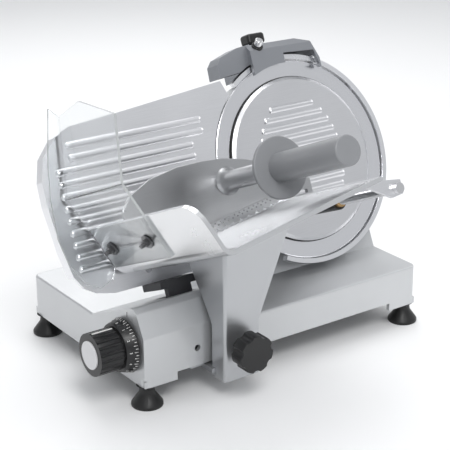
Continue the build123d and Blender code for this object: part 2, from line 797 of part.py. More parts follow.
def press_tube():
    flare = turned([(0, 0), (17, 0), (14, 4), (11.5, 12), (11.5, 118), (0, 118)])
    return tilted(Pos(*HANDLE_AT, PRESS_AT) * flare)


def finger_guard_disc():
    disc = fillet(handle_axis(35, 104, 109).edges(), 1.5)
    return tilted(disc - handle_axis(11.5, 100, 120))


def press_handle():
    grip = fillet(handle_axis(16.5, 109, 231).edges().group_by(Axis.Z)[-1], 2)
    return tilted(grip - handle_axis(11.5, 108, 118))


def parts():
    """Every node's name and solid."""
    return {
        "base_casting": base_casting(),
        "bottom_cover": bottom_cover(),
        "carriage_rods": carriage_rods(),
        "gauge_guide_rod": gauge_guide_rod(),
        "drive_cover": drive_cover(),
        "casting_screws": casting_screws(),
        "motor_housing": motor_housing(),
        "motor_body": motor_body(),
        "motor_shaft": motor_shaft(),
        "drive_belt": drive_belt(),
        "spindle_bearings": spindle_bearings(),
        "spindle": spindle(),
        "spindle_pulley": spindle_pulley(),
        "blade": blade(),
        "blade_screws": blade_screws(),
        "blade_cover": blade_cover(),
        "cover_tie_rod": cover_tie_rod(),
        "cover_release_knob": cover_knob(),
        "blade_ring_guard": blade_ring_guard(),
        "sharpener_cover": sharpener_cover(),
        "sharpener_bracket": sharpener_bracket(),
        "sharpener_knob": sharpener_knob(),
        "button_collar": button_collar(),
        "front_button": front_button(),
        "grinding_stone": grinding_stone(),
        "rear_button": rear_button(),
        "honing_stone": honing_stone(),
        "switch_plate": switch_plate(),
        "switch_body": switch_body(),
        "start_button": push_button(62.0),
        "stop_button": push_button(100.0),
        "cable_gland": cable_gland(),
        "thickness_shaft": thickness_shaft(),
        "thickness_dial": thickness_dial(),
        "thickness_grip": thickness_grip(),
        "thickness_cap": thickness_cap(),
        "thickness_cam": thickness_cam(),
        "gauge_plate": gauge_plate(),
        "gauge_bracket": gauge_bracket(),
        "gauge_screws": gauge_screws(),
        "gauge_slide_block": gauge_slide_block(),
        "carriage_block": carriage_block(),
        "carriage_bushes": carriage_bushes(),
        "carriage_arm": carriage_arm(),
        "star_knob": star_knob(),
        "meat_tray": meat_tray(),
        "hand_guard": hand_guard(),
        "guard_fasteners": guard_fasteners(),
        "press_rod": press_rod(),
        "rod_brackets": rod_brackets(),
        "press_bush": press_bush(),
        "press_sleeve": press_sleeve(),
        "press_link": press_link(),
        "press_plate": press_plate(),
        "grip_strip": grip_strip(),
        "press_tube": press_tube(),
        "finger_guard_disc": finger_guard_disc(),
        "press_handle": press_handle(),
        "rubber_feet": rubber_feet(),
    }


if __name__ == "__main__":
    os.makedirs("parts", exist_ok=True)
    for name, shape in parts().items():
        export_step(Pos(*SHIFT) * shape, f"parts/{name}.step")
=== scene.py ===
import json
from math import atan2, cos, pi, radians, sin

import bmesh
import bpy
from mathutils import Euler, Matrix, Quaternion, Vector


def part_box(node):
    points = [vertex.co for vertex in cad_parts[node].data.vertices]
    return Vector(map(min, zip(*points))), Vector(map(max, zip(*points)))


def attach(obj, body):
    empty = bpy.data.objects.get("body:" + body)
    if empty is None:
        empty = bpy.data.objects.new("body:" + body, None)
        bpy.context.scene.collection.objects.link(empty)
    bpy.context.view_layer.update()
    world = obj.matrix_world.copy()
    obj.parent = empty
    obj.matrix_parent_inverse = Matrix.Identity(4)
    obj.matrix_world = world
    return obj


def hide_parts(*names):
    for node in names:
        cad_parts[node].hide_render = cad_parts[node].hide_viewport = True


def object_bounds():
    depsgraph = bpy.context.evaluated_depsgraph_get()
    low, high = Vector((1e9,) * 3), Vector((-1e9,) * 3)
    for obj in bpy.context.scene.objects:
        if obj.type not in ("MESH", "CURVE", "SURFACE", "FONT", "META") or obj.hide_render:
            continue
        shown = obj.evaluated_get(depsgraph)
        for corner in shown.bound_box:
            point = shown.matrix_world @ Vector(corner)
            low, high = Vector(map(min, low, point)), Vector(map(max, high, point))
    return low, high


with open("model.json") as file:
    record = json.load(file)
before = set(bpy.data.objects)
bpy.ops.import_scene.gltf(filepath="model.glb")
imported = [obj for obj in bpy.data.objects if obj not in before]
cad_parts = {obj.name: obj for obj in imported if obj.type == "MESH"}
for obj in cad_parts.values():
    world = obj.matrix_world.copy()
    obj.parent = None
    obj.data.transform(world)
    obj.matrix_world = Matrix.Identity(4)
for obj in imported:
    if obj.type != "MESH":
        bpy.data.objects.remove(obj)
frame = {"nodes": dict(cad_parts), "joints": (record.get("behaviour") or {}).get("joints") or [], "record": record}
cad_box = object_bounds()
nodes = frame["nodes"]
joints = {j["name"]: j for j in frame["joints"]}

MM = 0.001

# The slicing plane's own axes: across, up the plane, and out towards the tray.
BLADE_AT = Vector(joints["blade_spin"]["pos_m"])
ACROSS = Vector((1, 0, 0))
OUT = Vector(joints["blade_spin"]["axis"])
UP = OUT.cross(ACROSS).normalized()
PLANE = Matrix.Translation(BLADE_AT) @ Matrix((ACROSS, UP, OUT)).transposed().to_4x4()
PLANE_TURN = PLANE.to_euler()

# tray floor, in the slicing plane
TRAY_CORNER = Vector((-291, -84)) * MM
FLOOR_ANGLE = radians(9.75)
FLOOR_LENGTH = 220 * MM
TRAY_T = 5 * MM
RIDGE_PITCH = 4.6 * MM
RIDGE_R = 0.75 * MM
RIDGE_FROM, RIDGE_TO = 12 * MM, 235 * MM
RIDGE_MARGIN = 22 * MM

# dial
DIAL_AT = Vector(joints["thickness_turn"]["pos_m"])
NUMBERS = 13
LONG_TICKS = 2 * NUMBERS
SHORT_TICKS = 4 * NUMBERS
SHORT_TICK, LONG_TICK = 2.6, 4.4
DIGIT_SIZE = 4.2 * MM
DIAL_FACE_R = 28 * MM

# pins on the press plate's strip, from end to end in the slicing plane
TOOTH_COUNT = 22
TOOTH_START, TOOTH_END = (-258, -60.3, 72), (-104, -35.6, 72)

# Faces of the clear guard's mesh above this area are sheet, and the rest are its sawn edges.
GUARD_SHEET_AREA = 900 * MM * MM

# camera
AIM_OFFSET = Vector((-0.0417, 0.0082, -0.0081))
CAMERA_AZIMUTH = radians(-35.04)
CAMERA_ELEVATION = radians(21.03)
CAMERA_DISTANCE = 1.628
CAMERA_ROLL = radians(-0.39)
CAMERA_LENS = 110.5

# Soft lights: name, place, side of the square in metres and power in watts.
LIGHTS = (
    ("key_light", (-0.5, -1.2, 1.6), 0.7, 16),
    ("fill_light", (1.7, -0.3, 1.2), 0.9, 5),
    ("top_light", (0.1, 0.3, 1.9), 1.0, 9),
    ("back_light", (0.6, 1.4, 1.2), 1.0, 7),
)
SKY_COLOUR = (0.95, 0.97, 1.0, 1)
SKY_STRENGTH = 0.60

# Sweep of the floor and backdrop, in metres.
FLOOR_HALF = 4.0
FLOOR_WIDER = 1.6
TURN_UP = 2.0
BEND_R = 0.8
BACKDROP_HEIGHT = 3.0
BEND_STEPS = 12


# ---------------------------------------------------------------- materials


def start_material(name):
    """A new material and its node tree, emptied."""
    material = bpy.data.materials.new(name)
    material.use_nodes = True
    material.node_tree.nodes.clear()
    return material, material.node_tree


def cast_paint(name, colour, metallic, roughness, grain):
    """Sprayed satin paint over a casting: fine orange peel, faint cloudiness, rubbed patches."""
    material, tree = start_material(name)
    new, link = tree.nodes.new, tree.links.new

    peel_frame = new("NodeFrame")
    peel_frame.label = "Orange peel of the sprayed coat"
    tone_frame = new("NodeFrame")
    tone_frame.label = "Cloudy tone of the paint"
    wear_frame = new("NodeFrame")
    wear_frame.label = "Satin patches from wiping"

    place = new("ShaderNodeTexCoord")
    place.label = "Place on the piece"
    place.location = (-1100, 0)

    peel = new("ShaderNodeTexNoise")
    peel.label = "Peel dimples"
    peel.location = (-800, -420)
    peel.parent = peel_frame
    peel.inputs["Scale"].default_value = 900
    peel.inputs["Detail"].default_value = 3
    peel_bump = new("ShaderNodeBump")
    peel_bump.label = "Dimple height"
    peel_bump.location = (-450, -420)
    peel_bump.parent = peel_frame
    peel_bump.inputs["Strength"].default_value = grain
    peel_bump.inputs["Distance"].default_value = 0.00012

    tone = new("ShaderNodeTexNoise")
    tone.label = "Clouds"
    tone.location = (-800, 320)
    tone.parent = tone_frame
    tone.inputs["Scale"].default_value = 9
    tone.inputs["Detail"].default_value = 5
    tone_mix = new("ShaderNodeMix")
    tone_mix.data_type = "RGBA"
    tone_mix.label = "Lighter to darker coat"
    tone_mix.location = (-450, 320)
    tone_mix.parent = tone_frame
    tone_mix.inputs["A"].default_value = (*[c * 0.94 for c in colour], 1)
    tone_mix.inputs["B"].default_value = (*[min(1, c * 1.05) for c in colour], 1)

    wear = new("ShaderNodeTexNoise")
    wear.label = "Wiped areas"
    wear.location = (-800, -50)
    wear.parent = wear_frame
    wear.inputs["Scale"].default_value = 22
    wear.inputs["Detail"].default_value = 4
    wear_range = new("ShaderNodeMapRange")
    wear_range.label = "Satin to dull"
    wear_range.location = (-450, -50)
    wear_range.parent = wear_frame
    wear_range.inputs["To Min"].default_value = roughness - 0.05
    wear_range.inputs["To Max"].default_value = roughness + 0.07

    shader = new("ShaderNodeBsdfPrincipled")
    shader.label = "Painted surface"
    shader.location = (-100, 0)
    shader.inputs["Metallic"].default_value = metallic
    shader.inputs["Coat Weight"].default_value = 0.12
    shader.inputs["Coat Roughness"].default_value = 0.25
    output = new("ShaderNodeOutputMaterial")
    output.label = "Surface"
    output.location = (250, 0)

    link(place.outputs["Object"], peel.inputs["Vector"])
    link(place.outputs["Object"], tone.inputs["Vector"])
    link(place.outputs["Object"], wear.inputs["Vector"])
    link(peel.outputs["Fac"], peel_bump.inputs["Height"])
    link(tone.outputs["Fac"], tone_mix.inputs["Factor"])
    link(wear.outputs["Fac"], wear_range.inputs["Value"])
    link(tone_mix.outputs["Result"], shader.inputs["Base Color"])
    link(wear_range.outputs["Result"], shader.inputs["Roughness"])
    link(peel_bump.outputs["Normal"], shader.inputs["Normal"])
    link(shader.outputs["BSDF"], output.inputs["Surface"])
    return material


def brushed_metal(name, colour, roughness, stretch, turn, depth):
    """Metal with a straight grain. stretch is the scale along each turned axis, small along the grain."""
    material, tree = start_material(name)
    new, link = tree.nodes.new, tree.links.new

    grain_frame = new("NodeFrame")
    grain_frame.label = "Straight grain from the belt"
    smudge_frame = new("NodeFrame")
    smudge_frame.label = "Handling marks in the gloss"

    place = new("ShaderNodeTexCoord")
    place.label = "Place on the piece"
    place.location = (-1300, 0)
    lay = new("ShaderNodeMapping")
    lay.label = "Grain direction"
    lay.location = (-1100, -250)
    lay.parent = grain_frame
    lay.vector_type = "TEXTURE"
    lay.inputs["Rotation"].default_value = turn
    lay.inputs["Scale"].default_value = [1 / s for s in stretch]
    grain = new("ShaderNodeTexNoise")
    grain.label = "Brush lines"
    grain.location = (-850, -250)
    grain.parent = grain_frame
    grain.inputs["Scale"].default_value = 1
    grain.inputs["Detail"].default_value = 4
    grain_tone = new("ShaderNodeMix")
    grain_tone.data_type = "RGBA"
    grain_tone.label = "Tone between the lines"
    grain_tone.location = (-550, 60)
    grain_tone.parent = grain_frame
    grain_tone.inputs["A"].default_value = (*[c * 0.9 for c in colour], 1)
    grain_tone.inputs["B"].default_value = (*[min(1, c * 1.06) for c in colour], 1)
    grain_bump = new("ShaderNodeBump")
    grain_bump.label = "Line depth"
    grain_bump.location = (-550, -420)
    grain_bump.parent = grain_frame
    grain_bump.inputs["Strength"].default_value = depth
    grain_bump.inputs["Distance"].default_value = 0.0001

    smudge = new("ShaderNodeTexNoise")
    smudge.label = "Smudges"
    smudge.location = (-850, 300)
    smudge.parent = smudge_frame
    smudge.inputs["Scale"].default_value = 14
    smudge.inputs["Detail"].default_value = 6
    smudge_range = new("ShaderNodeMapRange")
    smudge_range.label = "Clean to touched"
    smudge_range.location = (-550, 300)
    smudge_range.parent = smudge_frame
    smudge_range.inputs["To Min"].default_value = roughness - 0.05
    smudge_range.inputs["To Max"].default_value = roughness + 0.08

    shader = new("ShaderNodeBsdfPrincipled")
    shader.label = "Metal"
    shader.location = (-150, 0)
    shader.inputs["Metallic"].default_value = 1.0
    output = new("ShaderNodeOutputMaterial")
    output.label = "Surface"
    output.location = (200, 0)

    link(place.outputs["Object"], lay.inputs["Vector"])
    link(lay.outputs["Vector"], grain.inputs["Vector"])
    link(place.outputs["Object"], smudge.inputs["Vector"])
    link(grain.outputs["Fac"], grain_tone.inputs["Factor"])
    link(grain.outputs["Fac"], grain_bump.inputs["Height"])
    link(smudge.outputs["Fac"], smudge_range.inputs["Value"])
    link(grain_tone.outputs["Result"], shader.inputs["Base Color"])
    link(smudge_range.outputs["Result"], shader.inputs["Roughness"])
    link(grain_bump.outputs["Normal"], shader.inputs["Normal"])
    link(shader.outputs["BSDF"], output.inputs["Surface"])
    return material


def ground_disc(name, colour, roughness, depth):
    """Steel ground on a spindle: fine rings round the blade's axis."""
    material, tree = start_material(name)
    new, link = tree.nodes.new, tree.links.new

    ring_frame = new("NodeFrame")
    ring_frame.label = "Grinding rings round the axis"
    film_frame = new("NodeFrame")
    film_frame.label = "Thin film left by wiping"

    place = new("ShaderNodeTexCoord")
    place.label = "Place on the piece"
    place.location = (-1500, 0)
    centre = new("ShaderNodeMapping")
    centre.label = "Centred and laid in the disc's plane"
    centre.location = (-1300, -200)
    centre.parent = ring_frame
    centre.vector_type = "TEXTURE"
    centre.inputs["Location"].default_value = BLADE_AT
    centre.inputs["Rotation"].default_value = PLANE_TURN
    flat = new("ShaderNodeVectorMath")
    flat.operation = "MULTIPLY"
    flat.label = "Drop the height"
    flat.location = (-1100, -200)
    flat.parent = ring_frame
    flat.inputs[1].default_value = (1, 1, 0)
    radius = new("ShaderNodeVectorMath")
    radius.operation = "LENGTH"
    radius.label = "Distance from the axis"
    radius.location = (-920, -200)
    radius.parent = ring_frame
    ring = new("ShaderNodeTexNoise")
    ring.noise_dimensions = "1D"
    ring.label = "Rings"
    ring.location = (-740, -200)
    ring.parent = ring_frame
    ring.inputs["Scale"].default_value = 1400
    ring.inputs["Detail"].default_value = 3
    ring_tone = new("ShaderNodeMix")
    ring_tone.data_type = "RGBA"
    ring_tone.label = "Tone between rings"
    ring_tone.location = (-500, 60)
    ring_tone.parent = ring_frame
    ring_tone.inputs["A"].default_value = (*[c * 0.93 for c in colour], 1)
    ring_tone.inputs["B"].default_value = (*[min(1, c * 1.04) for c in colour], 1)
    ring_bump = new("ShaderNodeBump")
    ring_bump.label = "Ring depth"
    ring_bump.location = (-500, -380)
    ring_bump.parent = ring_frame
    ring_bump.inputs["Strength"].default_value = depth
    ring_bump.inputs["Distance"].default_value = 0.00008

    film = new("ShaderNodeTexNoise")
    film.label = "Wiping film"
    film.location = (-740, 320)
    film.parent = film_frame
    film.inputs["Scale"].default_value = 10
    film.inputs["Detail"].default_value = 5
    film_range = new("ShaderNodeMapRange")
    film_range.label = "Bright to hazy"
    film_range.location = (-500, 320)
    film_range.parent = film_frame
    film_range.inputs["To Min"].default_value = roughness - 0.03
    film_range.inputs["To Max"].default_value = roughness + 0.06

    shader = new("ShaderNodeBsdfPrincipled")
    shader.label = "Ground steel"
    shader.location = (-150, 0)
    shader.inputs["Metallic"].default_value = 1.0
    output = new("ShaderNodeOutputMaterial")
    output.label = "Surface"
    output.location = (200, 0)

    link(place.outputs["Object"], centre.inputs["Vector"])
    link(centre.outputs["Vector"], flat.inputs[0])
    link(flat.outputs["Vector"], radius.inputs[0])
    link(radius.outputs["Value"], ring.inputs["W"])
    link(place.outputs["Object"], film.inputs["Vector"])
    link(ring.outputs["Fac"], ring_tone.inputs["Factor"])
    link(ring.outputs["Fac"], ring_bump.inputs["Height"])
    link(film.outputs["Fac"], film_range.inputs["Value"])
    link(ring_tone.outputs["Result"], shader.inputs["Base Color"])
    link(film_range.outputs["Result"], shader.inputs["Roughness"])
    link(ring_bump.outputs["Normal"], shader.inputs["Normal"])
    link(shader.outputs["BSDF"], output.inputs["Surface"])
    return material


def moulding(name, colour, roughness, grain_size, grain):
    """Moulded plastic or rubber with a spark-eroded grain and a little dust in it."""
    material, tree = start_material(name)
    new, link = tree.nodes.new, tree.links.new

    grain_frame = new("NodeFrame")
    grain_frame.label = "Grain of the mould"
    dust_frame = new("NodeFrame")
    dust_frame.label = "Dust and handling"

    place = new("ShaderNodeTexCoord")
    place.label = "Place on the piece"
    place.location = (-1100, 0)
    cells = new("ShaderNodeTexVoronoi")
    cells.label = "Grain pits"
    cells.location = (-850, -250)
    cells.parent = grain_frame
    cells.inputs["Scale"].default_value = grain_size
    bump = new("ShaderNodeBump")
    bump.label = "Grain depth"
    bump.location = (-500, -250)
    bump.parent = grain_frame
    bump.inputs["Strength"].default_value = grain
    bump.inputs["Distance"].default_value = 0.0001
    dust = new("ShaderNodeTexNoise")
    dust.label = "Dust"
    dust.location = (-850, 200)
    dust.parent = dust_frame
    dust.inputs["Scale"].default_value = 35
    dust.inputs["Detail"].default_value = 6
    dust_tone = new("ShaderNodeMix")
    dust_tone.data_type = "RGBA"
    dust_tone.label = "Clean to dusty"
    dust_tone.location = (-500, 300)
    dust_tone.parent = dust_frame
    dust_tone.inputs["A"].default_value = (*colour, 1)
    dust_tone.inputs["B"].default_value = (*[c * 1.12 + 0.006 for c in colour], 1)
    gloss = new("ShaderNodeMapRange")
    gloss.label = "Gloss of touched places"
    gloss.location = (-500, 60)
    gloss.parent = dust_frame
    gloss.inputs["To Min"].default_value = roughness - 0.06
    gloss.inputs["To Max"].default_value = roughness + 0.06

    shader = new("ShaderNodeBsdfPrincipled")
    shader.label = "Moulding"
    shader.location = (-150, 0)
    output = new("ShaderNodeOutputMaterial")
    output.label = "Surface"
    output.location = (200, 0)

    link(place.outputs["Object"], cells.inputs["Vector"])
    link(place.outputs["Object"], dust.inputs["Vector"])
    link(cells.outputs["Distance"], bump.inputs["Height"])
    link(dust.outputs["Fac"], dust_tone.inputs["Factor"])
    link(dust.outputs["Fac"], gloss.inputs["Value"])
    link(dust_tone.outputs["Result"], shader.inputs["Base Color"])
    link(gloss.outputs["Result"], shader.inputs["Roughness"])
    link(bump.outputs["Normal"], shader.inputs["Normal"])
    link(shader.outputs["BSDF"], output.inputs["Surface"])
    return material


def clear_sheet(name, colour, transmission, roughness):
    """Polycarbonate sheet, or its sawn edge: faint ripple and fine scuffs."""
    material, tree = start_material(name)
    new, link = tree.nodes.new, tree.links.new

    ripple_frame = new("NodeFrame")
    ripple_frame.label = "Ripple of the rolled sheet"
    scuff_frame = new("NodeFrame")
    scuff_frame.label = "Fine scuffs"

    place = new("ShaderNodeTexCoord")
    place.label = "Place on the piece"
    place.location = (-1000, 0)
    ripple = new("ShaderNodeTexNoise")
    ripple.label = "Ripple"
    ripple.location = (-750, -200)
    ripple.parent = ripple_frame
    ripple.inputs["Scale"].default_value = 18
    ripple_bump = new("ShaderNodeBump")
    ripple_bump.label = "Ripple height"
    ripple_bump.location = (-450, -200)
    ripple_bump.parent = ripple_frame
    ripple_bump.inputs["Strength"].default_value = 0.12
    ripple_bump.inputs["Distance"].default_value = 0.0006
    scuff = new("ShaderNodeTexNoise")
    scuff.label = "Scuffs"
    scuff.location = (-750, 200)
    scuff.parent = scuff_frame
    scuff.inputs["Scale"].default_value = 60
    scuff.inputs["Detail"].default_value = 8
    scuff_range = new("ShaderNodeMapRange")
    scuff_range.label = "Clear to scuffed"
    scuff_range.location = (-450, 200)
    scuff_range.parent = scuff_frame
    scuff_range.inputs["To Min"].default_value = roughness
    scuff_range.inputs["To Max"].default_value = roughness + 0.08

    shader = new("ShaderNodeBsdfPrincipled")
    shader.label = "Polycarbonate"
    shader.location = (-100, 0)
    shader.inputs["Base Color"].default_value = (*colour, 1)
    shader.inputs["Transmission Weight"].default_value = transmission
    shader.inputs["IOR"].default_value = 1.5
    output = new("ShaderNodeOutputMaterial")
    output.label = "Surface"
    output.location = (250, 0)

    link(place.outputs["Object"], ripple.inputs["Vector"])
    link(place.outputs["Object"], scuff.inputs["Vector"])
    link(ripple.outputs["Fac"], ripple_bump.inputs["Height"])
    link(scuff.outputs["Fac"], scuff_range.inputs["Value"])
    link(scuff_range.outputs["Result"], shader.inputs["Roughness"])
    link(ripple_bump.outputs["Normal"], shader.inputs["Normal"])
    link(shader.outputs["BSDF"], output.inputs["Surface"])
    return material


FINE_X = (40, 2600, 2600)
FINE_OUT = (2600, 2600, 40)
NO_TURN = (0, 0, 0)

casting_silver = cast_paint("casting_silver", (0.60, 0.61, 0.62), 0.55, 0.36, 0.30)
housing_silver = cast_paint("housing_silver", (0.55, 0.56, 0.57), 0.50, 0.38, 0.30)
sharpener_grey = cast_paint("sharpener_grey", (0.27, 0.28, 0.30), 0.55, 0.36, 0.25)
black_paint_and_gap_shade = cast_paint("black_paint_and_gap_shade", (0.05, 0.05, 0.055), 0.2, 0.5, 0.3)
arm_alloy = cast_paint("arm_alloy", (0.50, 0.51, 0.525), 0.85, 0.33, 0.22)
gauge_alloy = brushed_metal("gauge_alloy", (0.86, 0.862, 0.88), 0.30, FINE_X, PLANE_TURN, 0.10)
cover_alloy = brushed_metal("cover_alloy", (0.78, 0.782, 0.80), 0.30, FINE_X, PLANE_TURN, 0.08)
tray_alloy = brushed_metal("tray_alloy", (0.82, 0.825, 0.835), 0.24, FINE_OUT, PLANE_TURN, 0.12)
press_alloy = brushed_metal("press_alloy", (0.50, 0.505, 0.515), 0.28, FINE_X, PLANE_TURN, 0.45)
zinc_sheet = brushed_metal("zinc_sheet", (0.60, 0.61, 0.62), 0.38, (40, 1800, 1800), NO_TURN, 0.15)
screw_zinc = brushed_metal("screw_zinc", (0.58, 0.58, 0.59), 0.25, (900, 900, 900), NO_TURN, 0.05)
nut_steel = brushed_metal("nut_steel", (0.20, 0.20, 0.205), 0.30, (900, 900, 900), NO_TURN, 0.05)
ground_rod = brushed_metal("ground_rod", (0.80, 0.80, 0.81), 0.14, (3000, 60, 60), PLANE_TURN, 0.05)
bronze = brushed_metal("bronze", (0.55, 0.36, 0.17), 0.40, (1200, 1200, 1200), NO_TURN, 0.20)
turned_steel = ground_disc("turned_steel", (0.50, 0.50, 0.52), 0.32, 0.30)
blade_steel = ground_disc("blade_steel", (0.86, 0.862, 0.885), 0.22, 0.10)
ring_alloy = ground_disc("ring_alloy", (0.90, 0.902, 0.92), 0.27, 0.12)
black_plastic = moulding("black_plastic", (0.006, 0.006, 0.0065), 0.34, 1500, 0.30)
belt_rubber = moulding("belt_rubber", (0.02, 0.02, 0.02), 0.60, 1200, 0.50)
foot_rubber = moulding("foot_rubber", (0.005, 0.005, 0.005), 0.42, 1000, 0.40)
grey_plastic = moulding("grey_plastic", (0.22, 0.225, 0.235), 0.36, 1600, 0.20)
face_black = moulding("face_black", (0.03, 0.03, 0.033), 0.26, 2200, 0.12)
start_green = moulding("start_green", (0.03, 0.30, 0.08), 0.24, 2200, 0.08)
stop_red = moulding("stop_red", (0.50, 0.02, 0.02), 0.24, 2200, 0.08)
mark_white = moulding("mark_white", (0.82, 0.82, 0.80), 0.45, 2200, 0.05)
cap_pale = moulding("cap_pale", (0.62, 0.62, 0.63), 0.22, 2200, 0.05)
stone_grit = moulding("stone_grit", (0.42, 0.34, 0.28), 0.85, 900, 1.0)
guard_clear = clear_sheet("guard_clear", (0.97, 0.985, 0.99), 1.0, 0.02)
guard_edge = clear_sheet("guard_edge", (0.93, 0.96, 0.97), 0.55, 0.18)

FINISH = {
    casting_silver: ("base_casting",),
    housing_silver: ("motor_housing",),
    sharpener_grey: ("sharpener_cover",),
    # black paint on the motor body; on gauge_bracket this black is painted shade for the shaded gap under the
    # gauge plate
    black_paint_and_gap_shade: ("motor_body", "gauge_bracket"),
    arm_alloy: ("carriage_arm", "carriage_block", "sharpener_bracket"),
    gauge_alloy: ("gauge_plate", "rod_brackets"),
    cover_alloy: ("blade_cover",),
    tray_alloy: ("meat_tray",),
    press_alloy: ("press_plate", "press_tube", "press_link", "grip_strip"),
    zinc_sheet: ("bottom_cover", "drive_cover"),
    screw_zinc: ("casting_screws", "blade_screws", "gauge_screws"),
    nut_steel: ("guard_fasteners",),
    ground_rod: (
        "carriage_rods", "gauge_guide_rod", "press_rod", "thickness_shaft", "cover_tie_rod",
        "front_button", "rear_button",
    ),
    bronze: ("carriage_bushes", "press_bush"),
    turned_steel: (
        "motor_shaft", "spindle", "spindle_bearings", "spindle_pulley", "thickness_cam",
        "gauge_slide_block",
    ),
    blade_steel: ("blade",),
    ring_alloy: ("blade_ring_guard",),
    black_plastic: (
        "sharpener_knob", "button_collar", "thickness_dial", "thickness_grip", "star_knob",
        "press_sleeve", "cover_release_knob", "cable_gland", "switch_body",
    ),
    belt_rubber: ("drive_belt",),
    foot_rubber: ("rubber_feet",),
    grey_plastic: ("finger_guard_disc", "press_handle"),
    face_black: ("switch_plate",),
    start_green: ("start_button",),
    stop_red: ("stop_button",),
    cap_pale: ("thickness_cap",),
    stone_grit: ("grinding_stone", "honing_stone"),
    guard_clear: ("hand_guard",),
}
BODY_OF = {n: body for body, names in frame["record"]["behaviour"]["bodies"].items() for n in names}
MATERIAL_OF = {node: material for material, names in FINISH.items() for node in names}

for node, material in MATERIAL_OF.items():
    nodes[node].data.materials.clear()
    nodes[node].data.materials.append(material)


# ---------------------------------------------------------------- softened castings and plates

# Edge radius of each piece that has broken edges, in millimetres.
EDGE_RADIUS = {
    "carriage_arm": 1.6,
    "press_plate": 0.7,
    "press_link": 0.8,
    "sharpener_cover": 1.8,
    "sharpener_bracket": 0.8,
    "star_knob": 2.0,
    "rod_brackets": 0.7,
    "gauge_bracket": 0.7,
    "thickness_dial": 0.6,
    "thickness_grip": 0.6,
    "thickness_cap": 0.5,
    "press_tube": 0.5,
    "cover_release_knob": 0.8,
    "front_button": 1.1,
    "rear_button": 0.8,
    "rubber_feet": 0.8,
    "switch_plate": 0.4,
    "start_button": 0.8,
    "stop_button": 0.8,
    "drive_cover": 0.4,
    "press_sleeve": 0.8,
}


def merged_copy(node):
    """A copy of a CAD node's mesh with its triangles joined into flat faces."""
    mesh = nodes[node].data.copy()
    mesh.name = node + "_soft"
    work = bmesh.new()
    work.from_mesh(mesh)
    bmesh.ops.remove_doubles(work, verts=work.verts, dist=1e-6)
    bmesh.ops.dissolve_limit(work, angle_limit=radians(0.6), verts=work.verts, edges=work.edges)
    work.to_mesh(mesh)
    work.free()
    return mesh


def kept_piece(name, mesh, body):
    """Shows a finished mesh on a body."""
    piece = bpy.data.objects.new(name, mesh)
    bpy.context.scene.collection.objects.link(piece)
    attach(piece, body)


def shown_instead(obj, node):
    """Puts obj in place of a CAD node, on the same body."""
    bpy.context.scene.collection.objects.link(obj)
    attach(obj, BODY_OF[node])
    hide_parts(node)


for node, radius in EDGE_RADIUS.items():
    soft = bpy.data.objects.new(node + "_soft", merged_copy(node))
    bevel = soft.modifiers.new("Broken edges", "BEVEL")
    bevel.width = radius * MM
    bevel.segments = 3
    bevel.limit_method = "ANGLE"
    bevel.angle_limit = radians(32)
    bevel.harden_normals = True
    bevel.use_clamp_overlap = True
    shown_instead(soft, node)


def guard_with_edges():
    """The folded clear guard, with its sawn edges in their own finish."""
    mesh = merged_copy("hand_guard")
    mesh.materials.append(guard_edge)
    for face in mesh.polygons:
        face.material_index = 0 if face.area > GUARD_SHEET_AREA else 1
    guard = bpy.data.objects.new("hand_guard_soft", mesh)
    shown_instead(guard, "hand_guard")


guard_with_edges()


# ---------------------------------------------------------------- pieces grown with Geometry Nodes


def grown(name, tree, values, body, place):
    """Runs a node tree on an empty mesh and keeps the result as a plain piece on one body."""
    seed = bpy.data.objects.new(name + "_seed", bpy.data.meshes.new(name + "_seed"))
    bpy.context.scene.collection.objects.link(seed)
    modifier = seed.modifiers.new(name, "NODES")
    modifier.node_group = tree
    for item in tree.interface.items_tree:
        if item.item_type == "SOCKET" and item.in_out == "INPUT" and item.name in values:
            modifier[item.identifier] = values[item.name]
    bpy.context.view_layer.update()
    graph = bpy.context.evaluated_depsgraph_get()
    mesh = bpy.data.meshes.new_from_object(seed.evaluated_get(graph), depsgraph=graph)
    mesh.name = name
    bpy.data.objects.remove(seed)
    mesh.transform(place)
    kept_piece(name, mesh, body)


